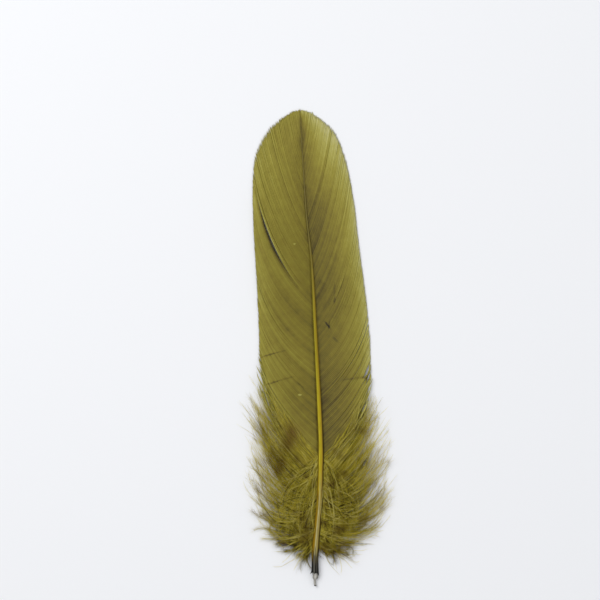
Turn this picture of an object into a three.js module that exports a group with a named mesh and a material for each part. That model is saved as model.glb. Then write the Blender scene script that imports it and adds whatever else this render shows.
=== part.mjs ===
// Goose shoulder feather, lying on its cupped side with its outer side up.
// Millimetres. +Y runs from the quill end to the tip, +X is to the right, +Z is up.
// The origin is under the middle of the feather's box, on the surface it lies on.

import * as THREE from 'three';
import * as BufferGeometryUtils from 'three/addons/utils/BufferGeometryUtils.js';

// Whole feather
const halfLength = 72.5;
const growthGap = 0.3; // between two pieces that grow out of each other

// Shaft, the bare quill and the rachis: its line, the height of its centre and its radius
const shaftTop = 69.4; // the last barbs run on past it
const shaftLine = [
  { at: -72.5, x: -0.9 },
  { at: -68, x: -0.9 },
  { at: -63, x: -0.9 },
  { at: -56, x: -0.4 },
  { at: -48, x: 0.3 },
  { at: -38, x: 0.7 },
  { at: -30, x: 0.8 },
  { at: -19, x: 0.4 },
  { at: 5, x: -0.8 },
  { at: 25, x: -1.9 },
  { at: 40, x: -3.5 },
  { at: 53, x: -4.4 },
  { at: 70, x: -5.4 },
];
const shaftHeight = [
  { at: -72.5, z: 0.85 },
  { at: -68, z: 1.12 },
  { at: -60, z: 1.4 },
  { at: -50, z: 2 },
  { at: -40, z: 2.8 },
  { at: -20, z: 4.1 },
  { at: 0, z: 4.8 },
  { at: 20, z: 4.7 },
  { at: 40, z: 3.7 },
  { at: 55, z: 2.4 },
  { at: 70, z: 1 },
];
const shaftRadius = [
  { at: -72.5, r: 0.42 },
  { at: -70.8, r: 0.55 },
  { at: -69.6, r: 0.88 },
  { at: -68, r: 1.06 },
  { at: -60, r: 1.08 },
  { at: -50, r: 1 },
  { at: -40, r: 0.92 },
  { at: -28, r: 0.85 },
  { at: -5, r: 0.6 },
  { at: 25, r: 0.4 },
  { at: 50, r: 0.24 },
  { at: 70, r: 0.15 },
];
const shaftSides = 12;
const shaftSteps = 60;
const pithHoleRadius = 0.28; // the open hole at the quill's root end
const pithHoleDepth = 4;

// Guide barbs: where each leaves the shaft, measured along the feather, and where its tip lies
const leftVaneGuides = [
  { at: -40, x: -17.5, y: -13 },
  { at: -31, x: -18, y: -5.5 },
  { at: -22, x: -18.1, y: 3 },
  { at: -13, x: -18.4, y: 12.5 },
  { at: -5, x: -18.9, y: 22 },
  { at: 5, x: -19.8, y: 38 },
  { at: 13, x: -20, y: 51 },
  { at: 21, x: -19.1, y: 59.2 },
  { at: 32, x: -15.6, y: 66.2 },
  { at: 44, x: -11.6, y: 69.8 },
  { at: 55, x: -8.9, y: 71.5 },
  { at: 63, x: -7, y: 72.3 },
  { at: 69.2, x: -5.9, y: 72.5 },
];
const rightVaneGuides = [
  { at: -40, x: 14.8, y: -17 },
  { at: -31, x: 16, y: -9 },
  { at: -21, x: 16, y: 1 },
  { at: -11, x: 14.9, y: 14 },
  { at: 0, x: 12.6, y: 31.5 },
  { at: 10, x: 10.9, y: 45.5 },
  { at: 20, x: 8.9, y: 56 },
  { at: 32, x: 5.8, y: 64.8 },
  { at: 44, x: 2.2, y: 69 },
  { at: 55, x: -1.2, y: 71.3 },
  { at: 63, x: -3.6, y: 72.2 },
  { at: 69.2, x: -5.1, y: 72.5 },
];
const leftDownGuides = [
  { at: -58.5, x: -6.5, y: -63 },
  { at: -56, x: -13.5, y: -58.5 },
  { at: -53, x: -18.3, y: -50.5 },
  { at: -50.2, x: -20.7, y: -41.5 },
  { at: -47.3, x: -21.4, y: -32 },
  { at: -44.3, x: -20.8, y: -23 },
  { at: -40.8, x: -18.9, y: -15.5 },
];
const rightDownGuides = [
  { at: -58.5, x: 8.5, y: -61.5 },
  { at: -56, x: 15, y: -57.5 },
  { at: -53, x: 19.3, y: -50 },
  { at: -50.2, x: 21.2, y: -42 },
  { at: -47.3, x: 21.3, y: -34 },
  { at: -44.3, x: 20.1, y: -26.5 },
  { at: -40.8, x: 16.6, y: -20 },
];
// A barb leaves the shaft outwards, then bends towards the tip
const barbForwardPull = [
  { at: -60, share: 0.34 },
  { at: -40, share: 0.4 },
  { at: -22, share: 0.42 },
  { at: -5, share: 0.36 },
  { at: 10, share: 0.34 },
  { at: 70, share: 0.34 },
];
const barbOutwardPull = [
  { at: -60, share: 0.7 },
  { at: -22, share: 0.72 },
  { at: -5, share: 0.78 },
  { at: 8, share: 0.8 },
  { at: 26, share: 0.62 },
  { at: 70, share: 0.55 },
];

// Vane thickness, and how the web falls from the shaft to its margins
const vaneThickness = 0.7;
const vaneMarginHeight = 0.45; // middle of the web at its margin
const vaneFall = 1.7; // the fall's exponent: it steepens towards the margin
const vaneColumns = 8;
const vaneRows = 46;

// Down thickness: each tuft lies on the surface and swells between the shaft and its tips
const downTipThickness = 0.9;
const downSwell = 1.1;
const downColumns = 7;
const downRows = 12;

const shaftMaterial = new THREE.MeshStandardMaterial({ color: 0xa59124, roughness: 0.4, metalness: 0 });
const vaneMaterial = new THREE.MeshStandardMaterial({ color: 0x7a7131, roughness: 0.75, metalness: 0 });
const downMaterial = new THREE.MeshStandardMaterial({ color: 0x6e6730, roughness: 0.9, metalness: 0 });

// A smooth value of the given key between rows of a table, rising or falling as its neighbours do
function smoothAt(rows, at, key) {
  let i = 0;
  while (i < rows.length - 2 && at > rows[i + 1].at) i += 1;
  const slopeAt = (j) => {
    const low = rows[Math.max(j - 1, 0)];
    const high = rows[Math.min(j + 1, rows.length - 1)];
    return (high[key] - low[key]) / (high.at - low.at);
  };
  const span = rows[i + 1].at - rows[i].at;
  const t = THREE.MathUtils.clamp((at - rows[i].at) / span, 0, 1);
  const rise = rows[i + 1][key] - rows[i][key];
  const ease = t * t * (3 - 2 * t);
  return rows[i][key] + rise * ease
    + span * slopeAt(i) * t * (1 - t) * (1 - t)
    - span * slopeAt(i + 1) * t * t * (1 - t);
}

// The geometry's points moved by a function, as one closed body with shared corners
function bent(geometry, place) {
  geometry.deleteAttribute('normal');
  geometry.deleteAttribute('uv');
  const position = geometry.attributes.position;
  const point = new THREE.Vector3();
  for (let i = 0; i < position.count; i += 1) {
    place(point.fromBufferAttribute(position, i));
    position.setXYZ(i, point.x, point.y, point.z);
  }
  const merged = BufferGeometryUtils.mergeVertices(geometry, 1e-5);
  merged.computeVertexNormals();
  return merged;
}

// The shaft is turned round the Y axis from its radius, then bent to its line and height
function shaftGeometry() {
  const profile = [
    new THREE.Vector2(0, -halfLength + pithHoleDepth),
    new THREE.Vector2(pithHoleRadius, -halfLength + pithHoleDepth),
    new THREE.Vector2(pithHoleRadius, -halfLength),
  ];
  for (let i = 0; i <= shaftSteps; i += 1) {
    const y = THREE.MathUtils.lerp(-halfLength, shaftTop, i / shaftSteps);
    profile.push(new THREE.Vector2(smoothAt(shaftRadius, y, 'r'), y));
  }
  profile.push(new THREE.Vector2(0, shaftTop));
  return bent(new THREE.LatheGeometry(profile, shaftSides), (point) => {
    point.x += smoothAt(shaftLine, point.y, 'x');
    point.z += smoothAt(shaftHeight, point.y, 'z');
  });
}

// The point at a share of the way along the barb that leaves the shaft at a given place
function barbPoint(guides, side, at, share) {
  const root = new THREE.Vector2(
    smoothAt(shaftLine, at, 'x') + side * (smoothAt(shaftRadius, at, 'r') + growthGap),
    at,
  );
  const tip = new THREE.Vector2(smoothAt(guides, at, 'x'), smoothAt(guides, at, 'y'));
  const pull = new THREE.Vector2(
    THREE.MathUtils.lerp(root.x, tip.x, smoothAt(barbOutwardPull, at, 'share')),
    THREE.MathUtils.lerp(root.y, tip.y, smoothAt(barbForwardPull, at, 'share')),
  );
  return new THREE.QuadraticBezierCurve(root, pull, tip).getPoint(share);
}

// A web of barbs on one side of the shaft: a box bent so that its rows run along the barbs
function webGeometry({ guides, side, columns, rows, underside, thickness }) {
  const first = guides[0].at;
  const last = guides[guides.length - 1].at;
  return bent(new THREE.BoxGeometry(1, 1, 1, columns, rows, 1), (point) => {
    const at = THREE.MathUtils.lerp(first, last, point.y + 0.5);
    const share = 0.5 + side * point.x;
    const plan = barbPoint(guides, side, at, share);
    const height = underside(at, share) + (point.z + 0.5) * thickness(at, share);
    point.set(plan.x, plan.y, height);
  });
}

function vaneGeometry(guides, side) {
  const underside = (at, share) => {
    const middle = THREE.MathUtils.lerp(
      smoothAt(shaftHeight, at, 'z'), vaneMarginHeight, share ** vaneFall);
    return middle - vaneThickness / 2;
  };
  const thickness = () => vaneThickness;
  return webGeometry({
    guides, side, columns: vaneColumns, rows: vaneRows, underside, thickness,
  });
}

function downGeometry(guides, side) {
  const underside = () => 0;
  const thickness = (at, share) => {
    const slope = THREE.MathUtils.lerp(smoothAt(shaftHeight, at, 'z'), downTipThickness, share);
    return slope + downSwell * Math.sin(Math.PI * share);
  };
  return webGeometry({
    guides, side, columns: downColumns, rows: downRows, underside, thickness,
  });
}

function part(name, geometry, material) {
  const mesh = new THREE.Mesh(geometry, material);
  mesh.name = name;
  return mesh;
}

const feather = new THREE.Group();
feather.add(part('shaft', shaftGeometry(), shaftMaterial));
feather.add(part('vane_left', vaneGeometry(leftVaneGuides, -1), vaneMaterial));
feather.add(part('vane_right', vaneGeometry(rightVaneGuides, 1), vaneMaterial));
feather.add(part('down_left', downGeometry(leftDownGuides, -1), downMaterial));
feather.add(part('down_right', downGeometry(rightDownGuides, 1), downMaterial));

export default feather;
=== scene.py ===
import math

import bmesh
import bpy
import numpy as np
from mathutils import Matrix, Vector


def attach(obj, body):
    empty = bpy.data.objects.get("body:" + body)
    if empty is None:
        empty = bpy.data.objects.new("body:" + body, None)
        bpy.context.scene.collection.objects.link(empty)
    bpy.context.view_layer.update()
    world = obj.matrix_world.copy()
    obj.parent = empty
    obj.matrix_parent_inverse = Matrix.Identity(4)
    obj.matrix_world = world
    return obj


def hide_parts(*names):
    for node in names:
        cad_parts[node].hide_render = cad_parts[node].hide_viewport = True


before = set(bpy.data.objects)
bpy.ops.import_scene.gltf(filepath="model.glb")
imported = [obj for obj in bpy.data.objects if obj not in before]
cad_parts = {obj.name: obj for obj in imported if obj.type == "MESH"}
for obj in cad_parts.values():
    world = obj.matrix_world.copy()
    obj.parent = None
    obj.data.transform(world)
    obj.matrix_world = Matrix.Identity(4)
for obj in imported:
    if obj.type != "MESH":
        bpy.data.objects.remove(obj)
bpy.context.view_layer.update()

mm = 0.001
dice = np.random.default_rng(41)

# The feather's plan, in millimetres: +Y to the tip, +X to the right, +Z up off the surface it lies on.
# Rows start with a place along the feather, and repeat the measures of the solids.
shaftLine = [(-72.5, -0.9), (-68, -0.9), (-63, -0.9), (-56, -0.4), (-48, 0.3), (-38, 0.7), (-30, 0.8),
             (-19, 0.4), (5, -0.8), (25, -1.9), (40, -3.5), (53, -4.4), (70, -5.4)]
shaftHeight = [(-72.5, 0.85), (-68, 1.12), (-60, 1.4), (-50, 2), (-40, 2.8), (-20, 4.1), (0, 4.8),
               (20, 4.7), (40, 3.7), (55, 2.4), (70, 1)]
shaftRadius = [(-72.5, 0.42), (-70.8, 0.55), (-69.6, 0.88), (-68, 1.06), (-60, 1.08), (-50, 1), (-40, 0.92),
               (-28, 0.85), (-5, 0.6), (25, 0.4), (50, 0.24), (70, 0.15)]
shaftTop = 69.4
quillEnd = -72.5

# Guide barbs: where a barb leaves the shaft, then the X and Y of its tip
vaneGuides = {
    "left": [(-40, -17.5, -13), (-31, -18, -5.5), (-22, -18.1, 3), (-13, -18.4, 12.5), (-5, -18.9, 22),
             (5, -19.8, 38), (13, -20, 51), (21, -19.1, 59.2), (32, -15.6, 66.2), (44, -11.6, 69.8),
             (55, -8.9, 71.5), (63, -7, 72.3), (69.4, -5.6, 72.5)],
    "right": [(-40, 14.8, -17), (-31, 16, -9), (-21, 16, 1), (-11, 14.9, 14), (0, 12.6, 31.5),
              (10, 10.9, 45.5), (20, 8.9, 56), (32, 5.8, 64.8), (44, 2.2, 69), (55, -1.2, 71.3),
              (63, -3.6, 72.2), (69.4, -5.4, 72.5)],
}
downGuides = {
    "left": [(-60, -4, -66), (-58.5, -7, -63), (-56, -13.5, -58.5), (-53, -18.3, -50.5),
             (-50.2, -20.7, -41.5), (-47.3, -21.4, -32), (-44.3, -20.8, -23), (-41, -19.6, -15.5),
             (-37, -18.4, -9)],
    "right": [(-60, 6.5, -63.5), (-58.5, 9, -61.5), (-56, 15, -57.5), (-53, 19.3, -50),
              (-50.2, 21.2, -42), (-47.3, 21.3, -34), (-44.3, 20.1, -26.5), (-41, 17.4, -19.5),
              (-37, 16.4, -14)],
}
# A barb leaves the shaft outwards, then bends towards the tip: where its bend lies, as a share of the way
outwardPull = [(-60, 0.7), (-22, 0.72), (-5, 0.78), (8, 0.8), (26, 0.62), (70, 0.55)]
forwardPull = [(-60, 0.34), (-40, 0.4), (-22, 0.42), (-5, 0.36), (10, 0.34), (70, 0.34)]
sideSign = {"left": -1, "right": 1}
# Where the foot of the vane and the down are stained brown: from one point to another, half width, strength
brownPatches = [((-7.5, -23.5), (-9.5, -31), 2.3, 0.75), ((-10.5, -33), (-13, -39), 1.8, 0.6),
                ((-4, -50), (-3.4, -60), 1.5, 0.35)]


def smoothAt(table, at, column=1):
    # a smooth value of the given column between the rows of a table
    rows = np.array(table, float)
    x, y = rows[:, 0], rows[:, column]
    slope = np.empty_like(y)
    slope[1:-1] = (y[2:] - y[:-2]) / (x[2:] - x[:-2])
    slope[0] = (y[1] - y[0]) / (x[1] - x[0])
    slope[-1] = (y[-1] - y[-2]) / (x[-1] - x[-2])
    at = np.clip(at, x[0], x[-1])
    i = np.clip(np.searchsorted(x, at, side="right") - 1, 0, len(x) - 2)
    span = x[i + 1] - x[i]
    t = (at - x[i]) / span
    ease = t * t * (3 - 2 * t)
    return (y[i] + (y[i + 1] - y[i]) * ease
            + span * slope[i] * t * (1 - t) ** 2 - span * slope[i + 1] * t * t * (1 - t))


def easeBetween(value, low, high):
    t = np.clip((value - low) / (high - low), 0, 1)
    return t * t * (3 - 2 * t)


def ripple(x, y, size):
    # a gentle uneven swell, from -1 to 1, in waves two or three times as long as the given size
    a, b = x / size, y / size
    return (np.sin(1.7 * a + 0.9 * b + 0.4) + np.sin(-0.8 * a + 1.9 * b + 2.1)
            + np.sin(2.9 * a - 1.3 * b + 4.0) * 0.6) / 2.6


def smudges(rows, x, y):
    # soft bands, each from one point to another, with its half width and strength
    total = 0 * x
    for (ax, ay), (bx, by), half, strength in rows:
        length = math.hypot(bx - ax, by - ay)
        ux, uy = (bx - ax) / length, (by - ay) / length
        along = (x - ax) * ux + (y - ay) * uy
        off = (x - ax) * -uy + (y - ay) * ux
        ends = easeBetween(along, -half, half) * (1 - easeBetween(along, length - half, length + half))
        total = total + strength * np.exp(-(off / half) ** 2) * ends
    return total


def brownAt(points):
    return smudges(brownPatches, points[..., 0], points[..., 1])


def colour(hexText):
    # an sRGB hex value as linear red, green, blue and alpha
    parts = [int(hexText[i:i + 2], 16) / 255 for i in (1, 3, 5)]
    return [p / 12.92 if p <= 0.04045 else ((p + 0.055) / 1.055) ** 2.4 for p in parts] + [1]


def addNode(tree, kind, settings=(), links=(), stops=()):
    # one node, with settings by property or socket, links from other nodes' sockets, and a ramp's stops
    made = tree.nodes.new(kind)
    for name, value in dict(settings).items():
        if isinstance(name, str) and hasattr(made, name):
            setattr(made, name, value)
        else:
            made.inputs[name].default_value = value
    for name, source in dict(links).items():
        tree.links.new(source, made.inputs[name])
    for i, (place, hexText) in enumerate(stops):
        ramp = made.color_ramp.elements
        stop = ramp[i] if i < len(ramp) else ramp.new(1)
        stop.position = place
        stop.color = colour(hexText)
    return made


def newMaterial(name):
    made = bpy.data.materials.new(name)
    made.use_nodes = True
    made.node_tree.nodes.clear()
    return made, made.node_tree


def addObject(name, data):
    made = bpy.data.objects.new(name, data)
    bpy.context.scene.collection.objects.link(made)
    return made


def objectFromBmesh(name, bm):
    mesh = bpy.data.meshes.new(name)
    bm.to_mesh(mesh)
    bm.free()
    return addObject(name, mesh)


def finishPiece(obj, name, nodes, material):
    obj.name = obj.data.name = name
    obj.data.materials.append(material)
    obj.data.polygons.foreach_set("use_smooth", np.ones(len(obj.data.polygons), bool))
    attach(obj, "root")
    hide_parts(*nodes)
    print(name, len(obj.data.polygons), "faces")


def strandBlock(centre, across, up, section, width, height, values):
    # many pointed strands: centre, across and up are strands x rings x 3; width, height and each of the
    # values, which become attributes, are strands x rings; section is the outline, clockwise along the run
    strands, rings = width.shape
    corners = len(section)
    a = np.array([s[0] for s in section])
    b = np.array([s[1] for s in section])
    body = (centre[:, :-1, None] + across[:, :-1, None] * (width[:, :-1, None] * a)[..., None]
            + up[:, :-1, None] * (height[:, :-1, None] * b)[..., None])
    points = np.concatenate([body.reshape(strands, -1, 3), centre[:, -1:]], 1)
    start = (np.arange(strands) * points.shape[1])[:, None, None]
    ring = (np.arange(rings - 2) * corners)[None, :, None]
    corner = np.arange(corners)[None, None, :]
    following = (corner + 1) % corners
    quads = np.stack([start + ring + corner, start + ring + following,
                      start + ring + corners + following, start + ring + corners + corner], -1)
    last = start + (rings - 2) * corners
    apex = np.broadcast_to(last + corners, (strands, 1, corners))
    tips = np.stack([last + corner, last + following, apex], -1)
    bases = (start[:, :, 0] + np.arange(corners)[::-1])
    # each strand is unrolled into its own cell of the UV map: long ones side by side, short ones in rows
    margin = 0.04
    columns = strands if rings > 12 else math.ceil(math.sqrt(strands))
    rows = math.ceil(strands / columns)
    index = np.arange(strands)
    cell = np.stack([index % columns / columns, index // columns / rows], -1)
    u = (margin + (1 - 2 * margin) * np.arange(corners + 1) / corners) / columns
    v = (margin + (1 - 2 * margin) * np.arange(rings) / (rings - 1)) / rows
    low, high, left, right = v[:-2, None], v[1:-1, None], u[None, :-1], u[None, 1:]
    unrolled = np.stack([np.stack(np.broadcast_arrays(*pair), -1) for pair in
                         ((left, low), (right, low), (right, high), (left, high))], -2)
    point = np.stack([np.stack([u[:-1], u[1:], (u[:-1] + u[1:]) / 2], -1),
                      np.broadcast_to([v[-2], v[-2], v[-1]], (corners, 3))], -1)
    # the small face at a strand's root, at the foot of its cell
    turn = np.arange(corners) * 2 * math.pi / corners
    cap = np.stack([(0.5 + 0.3 * np.cos(turn)) / columns, (0.05 + 0.04 * np.sin(turn)) / rows], -1)
    uvs = [cell[:, None] + part.reshape(-1, 2) for part in (unrolled, point, cap)]
    spread = {"across": np.concatenate([np.tile(a, (strands, rings - 1)), np.zeros((strands, 1))], 1)}
    for key, value in values.items():
        spread[key] = np.concatenate([np.repeat(value[:, :-1], corners, axis=1), value[:, -1:]], 1)
    return {"points": points.reshape(-1, 3), "faces": [quads.reshape(-1, 4), tips.reshape(-1, 3), bases],
            "uvs": [part.reshape(-1, 2) for part in uvs],
            "values": {key: value.ravel() for key, value in spread.items()}}


def meshFromStrands(name, blocks):
    # one object of all the blocks, each with a band of the UV square by its share of the points
    points = np.concatenate([block["points"] for block in blocks])
    faces, uvs, offset = [], [], 0
    for block in blocks:
        for group in block["faces"]:
            faces += (group + offset).tolist()
        share = len(block["points"]) / len(points)
        uvs += [part * [1, share] + [0, offset / len(points)] for part in block["uvs"]]
        offset += len(block["points"])
    mesh = bpy.data.meshes.new(name)
    mesh.from_pydata((points * mm).tolist(), [], faces)
    mesh.uv_layers.new(name="OFBake").data.foreach_set("uv", np.concatenate(uvs).ravel())
    for key in blocks[0]["values"]:
        layer = mesh.attributes.new(key, "FLOAT", "POINT")
        layer.data.foreach_set("value", np.concatenate([block["values"][key] for block in blocks]))
    return addObject(name, mesh)


# Floor, light and camera

stageLook = {
    "floorSide": 1600,          # mm
    "floorColour": "#f1f2f4",
    "tooth": 0.9,               # grains of the paper per mm, coarser than real so that they show at all
    "frameSpan": 183,           # mm of floor across the picture
    "frameCentre": (-5.5, 14.6),
    "lens": 100,
    "sensor": 36,
    "skyColour": "#fbfcff",
    "skyStrength": 0.5,
    # each soft light's place and side in metres, and its power in watts
    "lights": {"key": ((-0.35, 0.3, 0.62), 0.5, 3.4), "fill": ((0.45, -0.1, 0.5), 0.6, 0.9)},
}


def makeStage(look):
    bm = bmesh.new()
    bmesh.ops.create_grid(bm, x_segments=1, y_segments=1, size=look["floorSide"] / 2 * mm)
    floor = objectFromBmesh("floor", bm)
    # Pressed wood pulp: quite without shine, and with a tooth that is only just felt
    material, tree = newMaterial("matt studio paper")
    grain = addNode(tree, "ShaderNodeTexNoise", {"Scale": look["tooth"] / mm, "Detail": 3},
                    {"Vector": addNode(tree, "ShaderNodeTexCoord").outputs["Object"]})
    relief = addNode(tree, "ShaderNodeBump", {"Strength": 0.05, "Distance": 0.2 * mm},
                     {"Height": grain.outputs["Fac"]})
    shader = addNode(tree, "ShaderNodeBsdfPrincipled",
                     {"Base Color": colour(look["floorColour"]), "Roughness": 0.9},
                     {"Normal": relief.outputs["Normal"]})
    addNode(tree, "ShaderNodeOutputMaterial", links={"Surface": shader.outputs["BSDF"]})
    floor.data.materials.append(material)

    world = bpy.data.worlds.new("studio")
    world.use_nodes = True
    background = world.node_tree.nodes["Background"]
    background.inputs["Color"].default_value = colour(look["skyColour"])
    background.inputs["Strength"].default_value = look["skyStrength"]
    scene = bpy.context.scene
    scene.world = world
    scene.view_settings.view_transform = "Standard"

    for name, (place, size, power) in look["lights"].items():
        lamp = bpy.data.lights.new(name, "AREA")
        lamp.size = size
        lamp.energy = power
        holder = addObject(name, lamp)
        holder.location = place
        holder.rotation_euler = (-Vector(place)).to_track_quat("-Z", "Y").to_euler()  # towards the origin

    camera = bpy.data.cameras.new("camera")
    camera.lens = look["lens"]
    camera.sensor_width = look["sensor"]
    camera.clip_start = 0.01
    camera.clip_end = 10
    scene.camera = addObject("camera", camera)
    x, y = look["frameCentre"]
    scene.camera.location = (x * mm, y * mm, look["frameSpan"] * mm * look["lens"] / look["sensor"])
    print("stage ready")


makeStage(stageLook)


# Shaft: the bare quill and the rachis

shaftLook = {
    "steps": 170,
    "sides": 32,
    "holeRadius": 0.2,          # mm, the open pith hole at the root end
    "holeDepth": 4,
    "rim": -68.3,               # below this only the quill's inner tube is left
    "drawnIn": (0.06, 0.15),    # the quill narrows just at its rim: share of the radius, over how many mm
    # radius and place of the inner tube's rings, from its end to where it leaves the quill
    "tube": [(0.34, -72.35), (0.36, -71.6), (0.39, -70.9), (0.45, -70.3), (0.76, -69.8), (0.84, -69.2),
             (0.87, -68.3)],
    "ragged": 0.5,              # mm of the rim that is torn
    # flakes of the torn rim: the turn from the top in radians, how far each hangs in mm, how far it stands
    # off as a share of the radius, and how wide it is in radians
    "flakes": [(-1.4, 0.4, 0.6, 0.3), (1.3, 1.1, 0.25, 0.35), (0.1, 0.2, 0, 0.5), (2.8, 0.5, 0, 0.3)],
    "swell": (0.03, 0.9),       # unevenness of the quill: share of the radius, in waves of radians per mm
    "keelFrom": -34,            # above this the section turns from round to keeled
    "keelChange": 8,            # mm over which it does
    # the rachis, in shares of its radius: how much narrower on the slant, how much flatter, and its groove
    "slant": 0.1,
    "flatter": 0.12,
    "grooveDepth": 0.3,
    "fibre": (0.25, 6),         # mm, width and length of the fibres that streak the horn
    "stray": 0.22,              # how far they carry the colours sideways, and along where colours change
    "fray": 0.12,
    # colours across the shaft, from its left edge (0) to its right edge (1), from each place upwards, and
    # the length over which they change. Over the dye, the darker stops at both edges are painted shade
    # where the barbs meet the shaft, and the pale stops near the middle are painted highlights
    "zones": [
        (-73, 0, [(0, "#2b2925"), (0.4, "#5a5750"), (1, "#33302b")]),
        (-72.3, 0.3, [(0, "#7b776f"), (0.3, "#aeaba3"), (0.5, "#c9c7c1"), (0.75, "#9b988f"),
                      (1, "#6e6a62")]),
        # on the black part the pale stops are painted reflections, streaks of gloss
        (-68.36, 0.05, [(0, "#070604"), (0.28, "#100e0a"), (0.36, "#77756b"), (0.43, "#1b1913"),
                        (0.6, "#12100c"), (0.68, "#3d3b35"), (0.76, "#100e0a"), (1, "#070604")]),
        (-64.5, 4.5, [(0, "#5a420a"), (0.1, "#8c6c0c"), (0.32, "#94780e"), (0.39, "#a69a56"),
                      (0.48, "#c2b886"), (0.55, "#84743a"), (0.66, "#a39552"), (0.8, "#7f6e26"),
                      (0.9, "#483912"), (1, "#2a220c")]),
        (-49, 14, [(0, "#40340c"), (0.12, "#846f0c"), (0.26, "#bdae2a"), (0.42, "#a8950e"),
                   (0.66, "#a58d08"), (0.84, "#866a08"), (0.92, "#3c2f0c"), (1, "#261e08")]),
        (-16, 16, [(0, "#3b300d"), (0.12, "#77640e"), (0.26, "#a69724"), (0.42, "#92810c"),
                   (0.66, "#8f7906"), (0.84, "#765d08"), (0.92, "#382c0c"), (1, "#221b08")]),
        (10, 24, [(0, "#231d0c"), (0.25, "#453b14"), (0.5, "#726729"), (0.65, "#61561f"),
                  (0.85, "#2e2810"), (1, "#1d180b")]),
    ],
}


def alongShaft(y):
    return (y - quillEnd) / (shaftTop - quillEnd)


def shaftMaterial(look):
    # Dyed keratin horn, grown as a tube: waxy on the rachis, and clear enough on the bare quill to show its
    # dark core and pale fibres as streaks. Painted shade darkens its edges, and painted highlights and
    # reflections run along it near the middle
    material, tree = newMaterial("dyed quill horn")
    along, across = (addNode(tree, "ShaderNodeAttribute", {"attribute_name": name}).outputs["Fac"]
                     for name in ("along", "across"))
    coordinates = addNode(tree, "ShaderNodeTexCoord").outputs["Object"]
    wide, long = look["fibre"]
    fibre = addNode(tree, "ShaderNodeMapping",
                    {"Scale": (1 / (wide * mm), 1 / (long * mm), 1 / (wide * mm))}, {"Vector": coordinates})
    streaks = addNode(tree, "ShaderNodeTexNoise", {"Scale": 1, "Detail": 3, "Roughness": 0.6},
                      {"Vector": fibre.outputs["Vector"]}).outputs["Fac"]
    centred = addNode(tree, "ShaderNodeMath", {"operation": "SUBTRACT", 1: 0.5}, {0: streaks}).outputs[0]
    strayed = addNode(tree, "ShaderNodeMath", {"operation": "MULTIPLY_ADD", 1: look["stray"]},
                      {0: centred, 2: across}).outputs[0]
    frayed = addNode(tree, "ShaderNodeMath", {"operation": "MULTIPLY_ADD", 1: look["fray"]},
                     {0: centred, 2: along}).outputs[0]
    placed = addNode(tree, "ShaderNodeMapRange", {"From Min": -1, "From Max": 1},
                     {"Value": strayed}).outputs["Result"]
    painted = None
    for begins, change, stops in look["zones"]:
        zone = addNode(tree, "ShaderNodeValToRGB", links={"Fac": placed}, stops=stops).outputs["Color"]
        if painted is None:
            painted = zone
            continue
        # a change longer than a millimetre ends in fingers along the fibres, and a shorter one is clean
        reached = addNode(tree, "ShaderNodeMapRange",
                          {"From Min": alongShaft(begins), "From Max": alongShaft(begins + change)},
                          {"Value": frayed if change > 1 else along})
        painted = addNode(tree, "ShaderNodeMix", {"data_type": "RGBA"},
                          {0: reached.outputs["Result"], 6: painted, 7: zone}).outputs[2]
    streakTone = addNode(tree, "ShaderNodeValToRGB", links={"Fac": streaks},
                         stops=[(0.3, "#8a8374"), (0.48, "#ffffff")]).outputs["Color"]
    streaked = addNode(tree, "ShaderNodeMix", {"data_type": "RGBA", "blend_type": "MULTIPLY", 0: 0.6},
                       {6: painted, 7: streakTone}).outputs[2]
    relief = addNode(tree, "ShaderNodeBump", {"Strength": 0.3, "Distance": 0.06 * mm}, {"Height": streaks})
    shader = addNode(tree, "ShaderNodeBsdfPrincipled",
                     {"Roughness": 0.35, "IOR": 1.54, "Specular IOR Level": 0.18},
                     {"Base Color": streaked, "Normal": relief.outputs["Normal"]})
    addNode(tree, "ShaderNodeOutputMaterial", links={"Surface": shader.outputs["BSDF"]})
    return material


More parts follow.
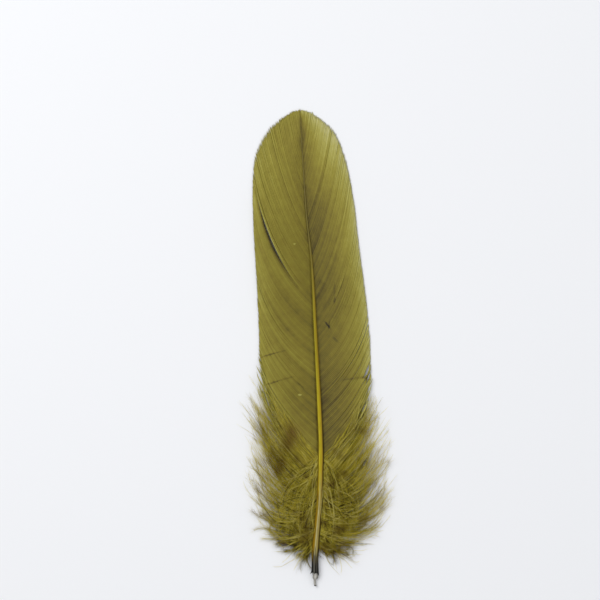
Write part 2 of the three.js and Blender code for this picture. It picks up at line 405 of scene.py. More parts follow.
def makeShaft(look):
    bm = bmesh.new()
    hole, rim, tube = look["holeRadius"], look["rim"], look["tube"]
    # half of the section, from the bottom of the pith hole, out over the tube and up to the tip
    outline = [(0, quillEnd + look["holeDepth"]), (hole, quillEnd + look["holeDepth"]),
               (hole, quillEnd + 0.1), (hole + 0.08, quillEnd)] + tube
    stretch = np.linspace(0, 1, look["steps"]) ** 1.15  # closer rings at the quill end
    places = rim + (shaftTop - rim) * stretch
    narrowed, over = look["drawnIn"]
    radii = smoothAt(shaftRadius, places) * (1 - narrowed * np.exp(-(places - rim) / over))
    outline += [(float(r), float(y)) for r, y in zip(radii, places)] + [(0, shaftTop + 0.3)]
    profile = [bm.verts.new((r, y, 0)) for r, y in outline]
    edges = [bm.edges.new(pair) for pair in zip(profile, profile[1:])]
    bmesh.ops.spin(bm, geom=profile + edges, cent=(0, 0, 0), axis=(0, 1, 0),
                   angle=2 * math.pi, steps=look["sides"], use_merge=True)
    bmesh.ops.remove_doubles(bm, verts=bm.verts, dist=1e-5)
    bmesh.ops.recalc_face_normals(bm, faces=bm.faces)
    # a fixed order, so that each run gives the same mesh: up the shaft, outwards and round it
    order = {v: (round(v.co.y, 4), round(v.co.xz.length, 4), math.atan2(*v.co.xz)) for v in bm.verts}
    for i, v in enumerate(sorted(bm.verts, key=order.get)):
        v.index = i
    for i, face in enumerate(sorted(bm.faces, key=lambda face: sorted(v.index for v in face.verts))):
        face.index = i
    bm.verts.sort()
    bm.faces.sort()
    tubeRadii, tubePlaces = zip(*tube)
    along = bm.verts.layers.float.new("along")
    across = bm.verts.layers.float.new("across")
    for v in bm.verts:
        x, y, z = v.co
        turn = math.atan2(x, z)  # 0 on top
        outside = math.hypot(x, z) > tube[-1][0] + 0.05
        radius = float(smoothAt(shaftRadius, y)) if outside else float(np.interp(y, tubePlaces, tubeRadii))
        v[along] = alongShaft(y)
        v[across] = x / radius
        # the quill is round and swells a little here and there; the rachis is keeled, with a groove below
        keel = float(easeBetween(y, look["keelFrom"], look["keelFrom"] + look["keelChange"]))
        groove = look["grooveDepth"] * keel * math.exp(-(turn - math.copysign(math.pi, turn)) ** 2 / 0.25)
        uneven, waves = look["swell"]
        swell = 1 + uneven * math.sin(waves * y) * (1 - keel)
        x *= swell * (1 - look["slant"] * keel * abs(math.sin(2 * turn)))
        z *= swell * (1 - groove) * (1 - look["flatter"] * keel)
        # the cut end of the dark part is ragged, with flakes that hang from it
        if outside and y < rim + look["ragged"]:
            fading = 1 - (y - rim) / look["ragged"]
            y += (0.12 * math.sin(5 * turn) + 0.08 * math.sin(11 * turn + 1)) * fading
            for place, hang, flare, width in look["flakes"]:
                near = fading * math.exp(-((turn - place) / width) ** 2)
                y -= hang * near
                x *= 1 + flare * near
                z *= 1 + flare * near
        # the inner tube is dried out, torn and uneven
        elif y < rim - look["ragged"]:
            x = x * (1 + 0.12 * math.sin(2.6 * y + 1)) + 0.12 * math.sin(1.7 * y)
            y += 0.25 * math.sin(2 * turn + 1) * math.exp(-((y + 69.9) / 0.5) ** 2)
        x += float(smoothAt(shaftLine, y))
        z += float(smoothAt(shaftHeight, y))
        v.co = (x * mm, y * mm, z * mm)
    finishPiece(objectFromBmesh("shaft", bm), "shaft_horn", ["shaft"], shaftMaterial(look))


makeShaft(shaftLook)


# Vanes: overlapping barbs, each a thin web with a raised rib

vaneLook = {
    "barbs": 190,               # on each side
    "lowest": -40.5,            # where on the shaft the first barb starts
    "rings": 26,
    "rooted": 0.72,             # of the shaft's radius: barbs start inside it
    "rib": 0.13,                # mm, height of a barb's rib near the shaft
    "overlap": 0.74,            # half width of a barb, as a share of the space between ribs
    "narrowest": 0.25,          # mm, half width where barbs crowd together at the margin
    # a barb's outline: its webs on each side of the rib, and the keel under it
    "section": [(-1, -0.35), (-0.22, 0.25), (0, 1), (0.22, 0.25), (1, 0.3), (0, -0.8)],
    "tipScatter": (0.03, 0.2),  # mm across and along the feather, which fringes the margin finely
    "marginHeight": 0.25,       # mm
    "lowestHeight": 0.12,       # mm
    "fall": 1.7,                # exponent: the web steepens towards its margin
    "swell": 0.2,               # mm, unevenness of the web
    "swellSize": 7,             # mm
    "uneven": 0.015,            # mm, how much barbs differ in height
    # where barbs stop holding together, as a share of their length, by their place on the shaft
    "looseFrom": {"left": [(-40.5, 0.3), (-36, 0.5), (-30, 0.72), (-25, 0.88), (-20, 1.02), (-15, 1.06),
                           (69, 1.06)],
                  "right": [(-40.5, 0.2), (-36, 0.45), (-31, 0.72), (-27, 0.92), (-22, 1.05), (69, 1.06)]},
    "looseChange": 0.3,         # share of the length over which they let go
    "looseWave": 0.35,          # mm, how far loose ends wave, stray and lift
    "looseStray": 0.5,
    "looseLift": (-0.3, 0.9),
    "waves": (6, 14),           # radians of waving along a loose barb
    # a barb's width narrows by these shares: at its tip, from a share of its length, and where it is loose
    "tipNarrows": (0.6, 0.93),
    "looseNarrows": 0.3,
    "ribSinks": 0.6,            # share of its height that a rib loses towards the tip
    # splits: the barb each follows by its place on the shaft, where it opens as shares of the barb, the
    # widest gap and the lift of its upper lip in mm, and how far along the shaft its pull reaches. The lift
    # also sets the painted light on the upper lip and the painted shadow below it
    "splits": {
        "left": [(13.9, 0.05, 0.95, 0.2, 0.7, 3.0), (-10, 0.8, 1.05, 0.3, 0.1, 1.2),
                 (38, 0.72, 1.05, 0.2, 0.1, 1)],
        "right": [(-25.3, 0.7, 0.95, 1.5, 0.1, 1.4), (-28.4, 0.78, 1.02, 1.4, 0.1, 1.1),
                  (-18, 0.85, 1.04, 0.3, 0, 1.2), (6, 0.25, 0.6, 0.1, 0.15, 1.5),
                  (30, 0.8, 1.05, 0.2, 0.1, 1.2)],
    },
    # tone runs from 0, the darkest, to 1, the palest
    "tone": {"left": (0.42, 0.68), "right": (0.31, 0.95)},  # near the shaft and at the margin
    "rootShade": 0.1,           # painted shade, darker in the angle beside the shaft
    "barbTone": (0.015, 0.036),  # how much neighbouring barbs share a shade, and how much each has its own
    "darkBarbs": (0.1, 0.06),   # the share that stand out as darker lines, painted shade of hairline gaps between barbs, and by how much
    "cloud": (0.05, 9),         # tone and size in mm of soft patches
    # fault bars, specks, a painted shadow of a fold and pale spots: from one point to another in mm, half
    # thickness, and change of tone
    "marks": [
        ((-17.2, -2.8), (-12.4, -1.3), 0.3, -0.28), ((-12.6, -1.4), (-9.8, -0.6), 0.3, -0.12),
        ((-15.9, -11.2), (-12, -9.9), 0.3, -0.28), ((-12.4, -10), (-7.6, -8.6), 0.35, -0.13),
        ((-15.3, -10.9), (-13.8, -13.1), 0.25, -0.16), ((-6.3, -10.2), (-4.5, -12), 0.25, -0.16),
        ((2.1, 8), (3.7, 6), 0.3, -0.27), ((3.4, 8.1), (3.1, 6), 0.26, -0.18),
        # this row is a faint painted shadow of a fold, beside the shaft
        ((5, 20), (4.9, 15.6), 0.3, -0.09), ((5, 15.2), (4.9, 13.9), 0.4, -0.2),
        ((4.6, 3.2), (6, 1.9), 0.35, -0.11), ((15.4, -8.7), (7.6, -9.6), 0.4, -0.14),
        ((13.4, -8.8), (16.2, -9.8), 0.3, -0.25), ((-17.3, -6), (-15.2, -19), 0.9, 0.1),
        ((-5.8, -14.1), (-5.2, -14.1), 0.3, 0.5), ((-7.4, 31.6), (-7, 31.6), 0.3, 0.4),
    ],
    "markRagged": 0.8,          # mm, size of the unevenness at the edge of a mark
    "mottleSize": 2.4,          # mm
    "barbules": 0.16,           # mm apart. Real ones are 0.05 mm apart, too fine to show
}


def barbEnds(side, guides, roots, look):
    # plan of where barbs start, inside the shaft, and of where the guides have their tips
    x = smoothAt(shaftLine, roots) + sideSign[side] * smoothAt(shaftRadius, roots) * look["rooted"]
    return np.stack([x, roots], -1), np.stack([smoothAt(guides, roots, i) for i in (1, 2)], -1)


def barbPaths(side, roots, share, tipShift, look):
    # plan of the barbs that leave the shaft at roots: barbs x rings x 2
    start, tip = barbEnds(side, vaneGuides[side], roots, look)
    tip = tip + tipShift
    pull = smoothAt(outwardPull, roots)
    bend = np.stack([start[:, 0] + (tip[:, 0] - start[:, 0]) * pull,
                     start[:, 1] + (tip[:, 1] - start[:, 1]) * smoothAt(forwardPull, roots)], -1)
    t = share[None, :, None]
    return (1 - t) ** 2 * start[:, None] + 2 * t * (1 - t) * bend[:, None] + t * t * tip[:, None]


def unit(vectors):
    return vectors / np.maximum(np.linalg.norm(vectors, axis=-1, keepdims=True), 1e-9)


def openSplits(splits, roots, share):
    # for each barb and ring: how far the splits push it towards the tip, lift it, and the painted light and
    # shade they add to its tone
    push, raised, shade = (np.zeros((len(roots), len(share))) for _ in range(3))
    # the barbs above a split give way by 0.3 of its gap, and those below it by 0.7
    for root, low, high, gap, lift, reach in splits:
        # widest a little past the middle
        opening = np.sin(np.pi * np.clip((share - low) / (high - low), 0, 1) ** 1.4)[None] ** 1.3
        above = roots > root
        near = np.exp(-np.abs(roots - root) / reach)
        push = push + (np.where(above, 0.3, -0.7) * near * gap)[:, None] * opening
        raised = raised + (np.where(above, 1, -0.6) * near * lift)[:, None] * opening
        # painted light on the upper lip, and painted shadow on the barbs below it
        light = np.where(above, 0.75 * np.exp((root - roots) / 0.7), -1.2 * np.exp((roots - root) / 0.8))
        shade = shade + (light * lift)[:, None] * opening ** 1.4
    return push, raised, shade


def makeVane(side, look):
    sign = sideSign[side]
    count = look["barbs"]
    roots = np.linspace(look["lowest"], shaftTop, count)
    share = np.linspace(0, 1, look["rings"])
    even = barbPaths(side, roots, share, 0, look)
    plan = barbPaths(side, roots, share, dice.normal(0, 1, (count, 2)) * look["tipScatter"], look)
    tangent = unit(np.gradient(even, axis=1))
    beside = sign * np.stack([-tangent[..., 1], tangent[..., 0]], -1)  # towards the next barb up the shaft
    spacing = np.abs((np.gradient(even, axis=0) * beside).sum(-1))
    fallen = share[None] ** look["fall"]
    height = smoothAt(shaftHeight, roots)[:, None] * (1 - fallen) + look["marginHeight"] * fallen
    swell = ripple(plan[..., 0], plan[..., 1], look["swellSize"]) * np.sin(np.pi * share)[None]
    height += look["swell"] * swell + dice.normal(0, look["uneven"], count)[:, None] * share[None]
    # towards the foot of the vane the barbs' ends come apart
    parted = smoothAt(look["looseFrom"][side], roots)[:, None]
    loose = easeBetween(share[None], parted, parted + look["looseChange"])
    turns = dice.uniform(*look["waves"], count)[:, None]
    wave = np.sin(share[None] * turns + dice.uniform(0, 6, count)[:, None])
    stray = wave * look["looseWave"] + dice.normal(0, look["looseStray"], count)[:, None]
    height += loose * dice.uniform(*look["looseLift"], count)[:, None]
    push, raised, shade = openSplits(look["splits"][side], roots, share)
    plan = plan + beside * (loose * stray + push)[..., None]
    centre = np.concatenate([plan, np.maximum(height + raised, look["lowestHeight"])[..., None]], -1)
    run = unit(np.gradient(centre, axis=1))
    over = np.gradient(centre, axis=0)
    over = unit(over - (over * run).sum(-1, keepdims=True) * run)
    up = np.cross(run, over) * sign
    # a barb narrows at its tip, where it leaves the shaft and where it is loose
    narrows, tipFrom = look["tipNarrows"]
    width = np.maximum(spacing * look["overlap"], look["narrowest"])
    width = width * (1 - narrows * easeBetween(share, tipFrom, 1.0))[None]
    width = width * easeBetween(share, -0.04, 0.03)[None]
    width = width * (1 - look["looseNarrows"] * loose) * dice.uniform(0.95, 1.05, count)[:, None]
    rib = look["rib"] * (1 - look["ribSinks"] * share)[None] * np.ones((count, 1))
    drift = np.convolve(dice.normal(0, 1, count + 8), np.ones(9) / 3, "valid")
    shared, own = look["barbTone"]
    often, darker = look["darkBarbs"]
    barbTone = shared * drift + dice.normal(0, own, count) - darker * (dice.random(count) > 1 - often)
    nearShaft, atMargin = look["tone"][side]
    strength, size = look["cloud"]
    # painted shade in the angle beside the shaft
    tone = nearShaft + (atMargin - nearShaft) * share ** 2.2 - look["rootShade"] * np.exp(-share * 14)
    tone = tone + barbTone[:, None] + shade + strength * ripple(plan[..., 0], plan[..., 1], size)
    length = np.linalg.norm(np.diff(centre, axis=1), axis=-1).sum(1)
    values = {"tone": tone, "reach": share[None] * length[:, None], "brown": brownAt(plan)}
    block = strandBlock(centre, over, up, look["section"][::sign * -1], width, rib, values)
    obj = meshFromStrands("vane", [block])
    finishPiece(obj, "vane_" + side + "_barbs", ["vane_" + side], vaneMaterial)


def makeVaneMaterial(look):
    # Dyed keratin barbs hooked into a web: a dull satin, a painted shade line between barbs, and some light
    # through it
    material, tree = newMaterial("dyed feather vane")
    tone, across, reach, brown = (
        addNode(tree, "ShaderNodeAttribute", {"attribute_name": name}).outputs["Fac"]
        for name in ("tone", "across", "reach", "brown"))
    coordinates = addNode(tree, "ShaderNodeTexCoord").outputs["Object"]
    mottle = addNode(tree, "ShaderNodeTexNoise",
                     {"Scale": 1 / (look["mottleSize"] * mm), "Detail": 5, "Roughness": 0.65},
                     {"Vector": coordinates}).outputs["Fac"]
    fromRib = addNode(tree, "ShaderNodeMath", {"operation": "ABSOLUTE"}, {0: across}).outputs[0]
    # the edges of each barb's web are darkened: painted shade in the grooves between barbs
    paintedGrooveShade = addNode(tree, "ShaderNodeMapRange", {"From Min": 0.35, "From Max": 0.8, "To Max": -0.09},
                     {"Value": fromRib}).outputs["Result"]
    # the mottle adds 0.3 of its value, half of which is taken off again
    shifted = addNode(tree, "ShaderNodeMath", {"operation": "MULTIPLY_ADD", 1: 0.3}, {0: mottle, 2: tone})
    lined = addNode(tree, "ShaderNodeMath", {"operation": "ADD"}, {0: shifted.outputs[0], 1: paintedGrooveShade})
    level = addNode(tree, "ShaderNodeMath", {"operation": "SUBTRACT", 1: 0.15},
                    {0: lined.outputs[0]}).outputs[0]
    # each mark is a soft ellipse, and a noise that moves it by up to half a millimetre makes it ragged
    strayed = 0.5 * mm
    noise = addNode(tree, "ShaderNodeTexNoise", {"Scale": 1 / (look["markRagged"] * mm)},
                    {"Vector": coordinates}).outputs["Color"]
    uneven = addNode(tree, "ShaderNodeVectorMath", {"operation": "MULTIPLY_ADD", 1: [strayed] * 3},
                     {0: noise, 2: coordinates}).outputs[0]
    for (ax, ay), (bx, by), half, change in look["marks"]:
        middle = ((ax + bx) / 2 * mm + strayed / 2, (ay + by) / 2 * mm + strayed / 2, 0)
        turned = (0, 0, math.atan2(by - ay, bx - ax))
        reached = (math.hypot(bx - ax, by - ay) / 2 * mm + half * mm, half * mm, 1)
        inside = addNode(tree, "ShaderNodeMapping",
                         {"vector_type": "TEXTURE", "Location": middle, "Rotation": turned,
                          "Scale": reached}, {"Vector": uneven})
        off = addNode(tree, "ShaderNodeVectorMath", {"operation": "LENGTH"}, {0: inside.outputs[0]})
        faded = addNode(tree, "ShaderNodeMapRange",
                        {"interpolation_type": "SMOOTHSTEP", "From Min": 1.3, "From Max": 0.5,
                         "To Max": change}, {"Value": off.outputs["Value"]})
        level = addNode(tree, "ShaderNodeMath", {"operation": "ADD"},
                        {0: faded.outputs["Result"], 1: level}).outputs[0]
    olive = addNode(tree, "ShaderNodeValToRGB", links={"Fac": level},
                    stops=[(0.0, "#2b230a"), (0.2, "#726420"), (0.4, "#97892c"), (0.6, "#ada23c"),
                           (0.8, "#c4bd5e"), (1.0, "#dcd796")]).outputs["Color"]
    base = addNode(tree, "ShaderNodeMix", {"data_type": "RGBA", 7: colour("#7a5518")},
                   {0: brown, 6: olive}).outputs[2]
    # barbules slant off each rib
    slant = addNode(tree, "ShaderNodeMath", {"operation": "MULTIPLY_ADD", 1: 0.3}, {0: fromRib, 2: reach})
    phase = addNode(tree, "ShaderNodeMath", {"operation": "MULTIPLY", 1: 2 * math.pi / look["barbules"]},
                    {0: slant.outputs[0]})
    barbules = addNode(tree, "ShaderNodeMath", {"operation": "SINE"}, {0: phase.outputs[0]})
    relief = addNode(tree, "ShaderNodeBump", {"Strength": 0.35, "Distance": 0.03 * mm},
                     {"Height": barbules.outputs[0]})
    surface = addNode(tree, "ShaderNodeBsdfPrincipled",
                      {"Roughness": 0.6, "IOR": 1.5, "Sheen Weight": 0.06, "Sheen Tint": colour("#b9b070")},
                      {"Base Color": base, "Normal": relief.outputs["Normal"]})
    through = addNode(tree, "ShaderNodeBsdfTranslucent", links={"Color": base})
    mixed = addNode(tree, "ShaderNodeMixShader", {0: 0.22},
                    {1: surface.outputs["BSDF"], 2: through.outputs["BSDF"]})
    addNode(tree, "ShaderNodeOutputMaterial", links={"Surface": mixed.outputs["Shader"]})
    return material


vaneMaterial = makeVaneMaterial(vaneLook)
for side in ("left", "right"):
    makeVane(side, vaneLook)


# Down: loose barbs, each fringed with fine barbules that lie along it

downLook = {
    "rings": 18,
    "rooted": 0.7,              # of the shaft's radius: barbs start inside it
    "barbuleRadius": 0.02,      # mm at its root. Real ones are thinner, too thin to show
    "section": [(0, 1), (1, -0.6), (-1, -0.6)],
    # height above the surface, in mm, of a barb's outer point and its tip
    "late": (0.4, 3),
    "tipHeight": (0.12, 1.8),
    "lowestHeight": (0.12, 0.04),  # mm, of a barb and of a barbule
    # wide barbs sag towards the quill end before they turn out, in mm by their place on the shaft
    "sag": [(-61, -4), (-55, -6), (-51, -5), (-46, -1.5), (-41, 2.2), (-36, 5.3), (-30, 7.8)],
    "reach": (1.03, 0.65),      # share of the way to the guides' tips, and how much less the shortest reach
    "footReach": (0.45, 0.95),
    "strayed": (1, 1.4),        # mm, how far the tips of wide barbs and their bends stray
    # the other kinds: the angles at which they leave, turn and end, in degrees outwards from the tip's
    # direction, and measures in mm. Drooping ones stay above a line: its Y at the shaft and its slope
    "droop": {"leaves": (95, 165), "ends": (-15, 25), "out": (1.5, 12.5), "fall": (8, 30),
              "above": (-66.5, 0.9)},
    "short": {"leaves": (50, 130), "turns": (-40, 40), "length": (2.5, 7)},
    "wisp": {"leaves": (120, 170), "ends": (60, 125), "out": (5, 14), "endsAt": (-68, -59)},
    "wave": 0.4,                # mm, how far a barb waves, and how far its tip strays
    "hook": 1.6,
    # barbules: how far along a barb they go, how much their length varies, and how close they cling to it
    "fringed": (0.84, 0.99),
    "lengths": (0.45, 1.3),
    "clings": (0.3, 1.1),
    # tone runs from 0, the darkest, to 1, the palest: near the shaft, its rise outwards and between which
    # distances from the shaft in mm, and its rise with the height, painted shade that leaves low strands
    # darker under those above, and towards the tips
    "nearTone": 0.25,
    "outerTone": (0.25, 3, 20),
    "paintedHeightShade": 0.06,
    "tipTone": 0.12,
    "lowEndTone": (-0.06, -64, -50),  # the change at the quill end, all of it below the first place
    "cloud": (0.09, 3.5),       # tone and size in mm of soft patches
    "ownTone": (0.1, 0.05),     # how much paler stems are than barbules, and how much barbules vary
    # beside the quill the down hangs in clumps, drawn as painted light and shade in bands: tone, size in mm
    # across and along the feather, and how far from the shaft they fade and end. They sway sideways by the
    # first measure, in waves by the second
    "clumps": (0.2, 0.5, 3, 8, 16),
    "sway": (1.2, 6),
    # paler and darker streaks, from one point to another, half width and change of tone
    "streaks": [((-18.4, -7), (-15, -22), 1.4, 0.3), ((-15, -22), (-11.3, -30), 1.3, 0.25),
                # the darker streaks on the left are painted shade of a hollow in the down, over its real
                # brown stain
                ((-7.5, -24), (-9.5, -31), 2.2, -0.08), ((-10.5, -33), (-13, -39), 1.8, -0.14),
                ((12, -17), (19, -33), 3, 0.14), ((9, -36), (13, -54), 2.2, -0.1)],
    "patchSize": 4,             # mm, of brownish patches
    # Kinds of barb: how many on each side and where on the shaft they start, in mm; the stem's radius; how
    # many barbules each has, from which share of the barb, how long, over how many points and how far open,
    # in degrees; how far the inner and outer half of the barb are lifted, in mm; how much paler it is, and
    # how much that varies. Stems of strands and drooping barbs are twice as thick as real ones, to show
    "kinds": {
        "fan": {"left": 136, "right": 136, "roots": (-60.5, -37), "stem": 0.06, "barbules": 104,
                "from": 0.03, "length": 3.4, "points": 3, "open": (6, 42), "lift": (-0.4, 0),
                "pale": -0.07, "varied": 0.12},
        "under": {"left": 60, "right": 60, "roots": (-60, -36), "stem": 0.05, "barbules": 140,
                  "from": 0.02, "length": 3.4, "points": 2, "open": (15, 60), "lift": (-1, -0.4),
                  "pale": -0.26, "varied": 0.06},
        "strand": {"left": 150, "right": 190, "roots": (-60.5, -36), "stem": 0.085, "barbules": 46,
                   "from": 0.05, "length": 2.4, "points": 2, "open": (2, 13), "lift": (0.3, 0.3),
                   "pale": 0.07, "varied": 0.28},
        "foot": {"left": 50, "right": 36, "roots": (-46, -32), "stem": 0.06, "barbules": 60,
                 "from": 0.3, "length": 2.4, "points": 2, "open": (3, 24), "lift": (1, 0.8),
                 "pale": 0.08, "varied": 0.14},
        "droop": {"left": 180, "right": 80, "roots": (-59, -32), "stem": 0.085, "barbules": 48,
                  "from": 0.03, "length": 2, "points": 2, "open": (2, 12), "lift": (0.2, 1.9),
                  "pale": 0.03, "varied": 0.3},
        "short": {"left": 84, "right": 84, "roots": (-60.5, -36), "stem": 0.05, "barbules": 50,
                  "from": 0, "length": 2.4, "points": 2, "open": (6, 40), "lift": (-0.3, 0),
                  "pale": -0.1, "varied": 0.1},
        "wisp": {"left": 7, "right": 20, "roots": (-60.5, -50), "stem": 0.07, "barbules": 20,
                 "from": 0.1, "length": 1.6, "points": 2, "open": (4, 20), "lift": (0, 0),
                 "pale": 0.1, "varied": 0.1},
    },
}
# the kinds that each visible piece of down is made of
downPieces = {"fan": ["fan"], "loose": ["under", "strand", "foot", "droop", "short", "wisp"]}


def heading(side, degrees):
    # unit vectors in plan, turned outwards from the tip's direction
    turned = np.radians(degrees)
    return np.stack([sideSign[side] * np.sin(turned), np.cos(turned)], -1)


def downControls(side, kind, look):
    # plan of each barb as four Bezier points, and its place on the shaft
    sign = sideSign[side]
    spec = look["kinds"][kind]
    count = spec[side]
    lowest, highest = spec["roots"]
    # evenly scattered, and rather closer towards the vane
    roots = lowest + (highest - lowest) * ((np.arange(count) + dice.random(count)) / count) ** 0.75
    # above the down's own guides the vane's show the way
    guides = downGuides[side] + [row for row in vaneGuides[side] if downGuides[side][-1][0] < row[0] < 0]
    start, tip = barbEnds(side, guides, roots, look)
    if kind in ("fan", "under", "strand", "foot"):
        # outwards, with a bend where the guides have theirs, or lower at the quill end
        if kind == "foot":
            reach = dice.uniform(*look["footReach"], count)
        else:
            reach = look["reach"][0] - look["reach"][1] * dice.random(count) ** 1.5
        tip = start + (tip - start) * reach[:, None] + dice.normal(0, look["strayed"][0], (count, 2))
        pull = smoothAt(outwardPull, roots)
        rise = smoothAt(forwardPull, roots) * (tip[:, 1] - roots)
        sag = smoothAt(look["sag"], roots) * reach
        sag = sag + (rise - sag) * easeBetween(roots, -50, -40)
        bend = np.stack([start[:, 0] + (tip[:, 0] - start[:, 0]) * pull, roots + sag], -1)
        inner = start + (bend - start) * 0.67
        outer = tip + (bend - tip) * 0.67 + dice.normal(0, look["strayed"][1], (count, 2))
    elif kind == "droop":
        # out a little, then down beside the quill, and never below the foot of the fans
        run = look["droop"]
        nearest, farthest = run["out"]
        out = nearest + (farthest - nearest) * dice.random(count) ** 1.3
        fall = dice.uniform(*run["fall"], count)
        atShaft, slope = run["above"]
        tip = np.stack([start[:, 0] + sign * out, np.maximum(roots - fall, atShaft + slope * out)], -1)
        tip[:, 1] = np.minimum(tip[:, 1], roots - 2) + dice.uniform(0, 2.5, count)
        inner = start + heading(side, dice.uniform(*run["leaves"], count)) * (out * 0.6 + 1)[:, None]
        outer = tip + heading(side, dice.uniform(*run["ends"], count)) * (fall * 0.6)[:, None]
    elif kind == "short":
        # any way outwards, close to the shaft
        run = look["short"]
        length = dice.uniform(*run["length"], count)[:, None]
        leaves = dice.uniform(*run["leaves"], count)
        inner = start + heading(side, leaves) * length * 0.4
        tip = start + heading(side, leaves + dice.uniform(*run["turns"], count)) * length
        outer = (inner + tip) / 2
    else:
        # back past the quill end, then curling out
        run = look["wisp"]
        out = dice.uniform(*run["out"], count)
        tip = np.stack([start[:, 0] + sign * out, dice.uniform(*run["endsAt"], count)], -1)
        leaves = heading(side, dice.uniform(*run["leaves"], count))
        inner = start + leaves * dice.uniform(3, 7, count)[:, None]
        ends = heading(side, dice.uniform(*run["ends"], count))
        outer = tip - ends * dice.uniform(3, 6, count)[:, None]
    return np.stack([start, inner, outer, tip], 1), roots


def downPaths(side, kind, look):
    # barbs x rings x 3
    plan, roots = downControls(side, kind, look)
    count = len(roots)
    innerLift, outerLift = look["kinds"][kind]["lift"]
    base = smoothAt(shaftHeight, roots)
    middle = base + dice.uniform(-0.8, 0.8, count) + innerLift
    late = dice.uniform(*look["late"], count) + outerLift
    z = np.stack([base, middle, late, dice.uniform(*look["tipHeight"], count)], -1)
    t = np.linspace(0, 1, look["rings"])[None, :, None]
    a, b, c, d = (np.concatenate([plan, z[..., None]], -1)[:, i][:, None] for i in range(4))
    path = (1 - t) ** 3 * a + 3 * t * (1 - t) ** 2 * b + 3 * t * t * (1 - t) * c + t ** 3 * d
    # small waves, stronger towards the tip, and a hook at the tip
    t = t[..., 0]
    for axis in range(3):
        turns = dice.uniform(5, 13, count)[:, None]
        path[..., axis] += np.sin(t * turns + dice.uniform(0, 6, count)[:, None]) * t ** 1.5 * look["wave"]
    path[..., :2] += dice.normal(0, look["hook"], (count, 1, 2)) * t[..., None] ** 4
    path[..., 2] = np.maximum(path[..., 2], look["lowestHeight"][0])
    return path


def frameOf(path):
    # directions along a path, level beside it, and up from it
    run = unit(np.gradient(path, axis=1))
    beside = unit(np.cross(run, np.array([0, 0, 1.0])))
    return run, beside, np.cross(beside, run)


def downTone(point, tipness, look):
    x, y, z = point[..., 0], point[..., 1], point[..., 2]
    fromShaft = np.abs(x - smoothAt(shaftLine, y))
    rise, near, far = look["outerTone"]
    tone = look["nearTone"] + rise * easeBetween(fromShaft, near, far)
    # painted shade: the lower a strand lies, the darker
    tone += look["paintedHeightShade"] * z + look["tipTone"] * tipness
    change, below, above = look["lowEndTone"]
    tone += change * (1 - easeBetween(y, below, above))
    strength, size = look["cloud"]
    tone += strength * ripple(x, y, size) + smudges(look["streaks"], x, y)
    # painted light and shade in bands that stand for the relief of the clumps
    strength, wide, long, near, far = look["clumps"]
    swayed = x + look["sway"][0] * ripple(x, y, look["sway"][1])
    tone += strength * ripple(swayed * long / wide, y, long) * (1 - easeBetween(fromShaft, near, far))
    return tone


def barbuleBlock(path, barbTone, spec, look):
    # barbules in two rows on each barb, thinning out before its tip
    count, rings = path.shape[:2]
    many = spec["barbules"]
    place = ((np.arange(many)[None] + dice.random((count, many))) / many) ** 1.15
    place = spec["from"] + (dice.uniform(*look["fringed"], count)[:, None] - spec["from"]) * place
    index = np.clip(place * (rings - 1), 0, rings - 1.001)
    low = index.astype(int)
    part = (index - low)[..., None]
    rows = np.arange(count)[:, None]
    start, forwards, aside, upwards = (values[rows, low] * (1 - part) + values[rows, low + 1] * part
                                       for values in (path, *frameOf(path)))
    turn = np.where(np.arange(many) % 2 == 0, 1, -1)[None, :, None]
    clings = dice.uniform(*look["clings"], count)[:, None, None]
    opening = np.radians(dice.uniform(*spec["open"], (count, many, 1))) * clings
    tilt = dice.normal(0, 0.3, (count, many, 1)) * np.sin(opening * 2)
    away = unit(forwards * np.cos(opening) + aside * np.sin(opening) * turn + upwards * tilt)
    length = spec["length"] * (1 - 0.3 * place) * dice.uniform(*look["lengths"], (count, many))
    reach = away * length[..., None]
    points = [start, start + reach]
    if spec["points"] == 3:
        # the outer half turns back along the barb
        later = unit(away + forwards * 0.4 + dice.normal(0, 0.35, (count, many, 3)) * clings)
        points = [start, start + reach * 0.5, start + (away + later) * length[..., None] * 0.5]
    centre = np.stack(points, 2).reshape(-1, len(points), 3)
    centre[..., 2] = np.maximum(centre[..., 2], look["lowestHeight"][1])
    ownBeside, ownUp = frameOf(centre)[1:]
    taper = np.linspace(1, 0.3, len(points)) * look["barbuleRadius"]
    thick = taper[None] * np.ones((len(centre), 1))
    tone = downTone(centre, np.repeat(place.reshape(-1, 1), len(points), 1), look)
    tone += np.repeat(barbTone, many)[:, None] + dice.normal(0, look["ownTone"][1], (len(centre), 1))
    values = {"tone": tone, "brown": brownAt(centre)}
    return strandBlock(centre, ownBeside, ownUp, look["section"], thick, thick, values)


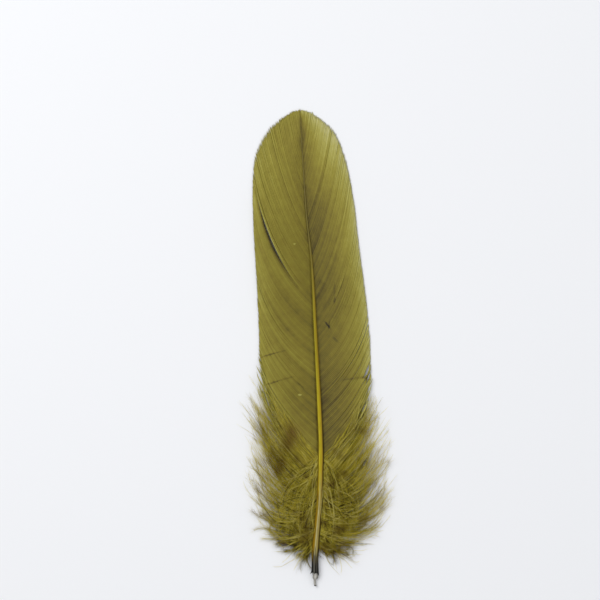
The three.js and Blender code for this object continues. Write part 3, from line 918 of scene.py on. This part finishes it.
def downBlocks(side, kind, look):
    # the barbs of one kind, and their barbules
    spec = look["kinds"][kind]
    path = downPaths(side, kind, look)
    beside, up = frameOf(path)[1:]
    count, rings = path.shape[:2]
    t = np.linspace(0, 1, rings)[None] * np.ones((count, 1))
    barbTone = dice.normal(spec["pale"], spec["varied"], (count, 1))
    radius = spec["stem"] * (1 - 0.7 * t)
    values = {"tone": downTone(path, t, look) + barbTone + look["ownTone"][0], "brown": brownAt(path)}
    stems = strandBlock(path, beside, up, look["section"], radius, radius, values)
    return [stems, barbuleBlock(path, barbTone, spec, look)]


def makeDown(side, look):
    for part, kinds in downPieces.items():
        blocks = [block for kind in kinds for block in downBlocks(side, kind, look)]
        obj = meshFromStrands("down", blocks)
        finishPiece(obj, "down_" + side + "_" + part, ["down_" + side], downMaterial)


def makeDownMaterial(look):
    # Dyed down: loose keratin fibres, dull and open, with light passing through them
    material, tree = newMaterial("dyed down")
    tone, brown = (addNode(tree, "ShaderNodeAttribute", {"attribute_name": name}).outputs["Fac"]
                   for name in ("tone", "brown"))
    coordinates = addNode(tree, "ShaderNodeTexCoord").outputs["Object"]
    olive = addNode(tree, "ShaderNodeValToRGB", links={"Fac": tone},
                    stops=[(0.0, "#33290a"), (0.2, "#84741c"), (0.42, "#cdbd38"), (0.66, "#e5d751"),
                           (1.0, "#eee485")]).outputs["Color"]
    patches = addNode(tree, "ShaderNodeTexNoise", {"Scale": 1 / (look["patchSize"] * mm), "Detail": 2},
                      {"Vector": coordinates})
    warm = addNode(tree, "ShaderNodeMapRange", {"From Min": 0.5, "From Max": 0.66, "To Max": 0.4},
                   {"Value": patches.outputs["Fac"]})
    either = addNode(tree, "ShaderNodeMath", {"operation": "MAXIMUM"},
                     {0: warm.outputs["Result"], 1: brown})
    stained = addNode(tree, "ShaderNodeMix", {"data_type": "RGBA", 7: colour("#80591a")},
                      {0: either.outputs[0], 6: olive}).outputs[2]
    surface = addNode(tree, "ShaderNodeBsdfPrincipled",
                      {"Roughness": 0.7, "IOR": 1.5, "Specular IOR Level": 0.3}, {"Base Color": stained})
    through = addNode(tree, "ShaderNodeBsdfTranslucent", links={"Color": stained})
    mixed = addNode(tree, "ShaderNodeMixShader", {0: 0.35},
                    {1: surface.outputs["BSDF"], 2: through.outputs["BSDF"]})
    addNode(tree, "ShaderNodeOutputMaterial", links={"Surface": mixed.outputs["Shader"]})
    return material


downMaterial = makeDownMaterial(downLook)
for side in ("left", "right"):
    makeDown(side, downLook)
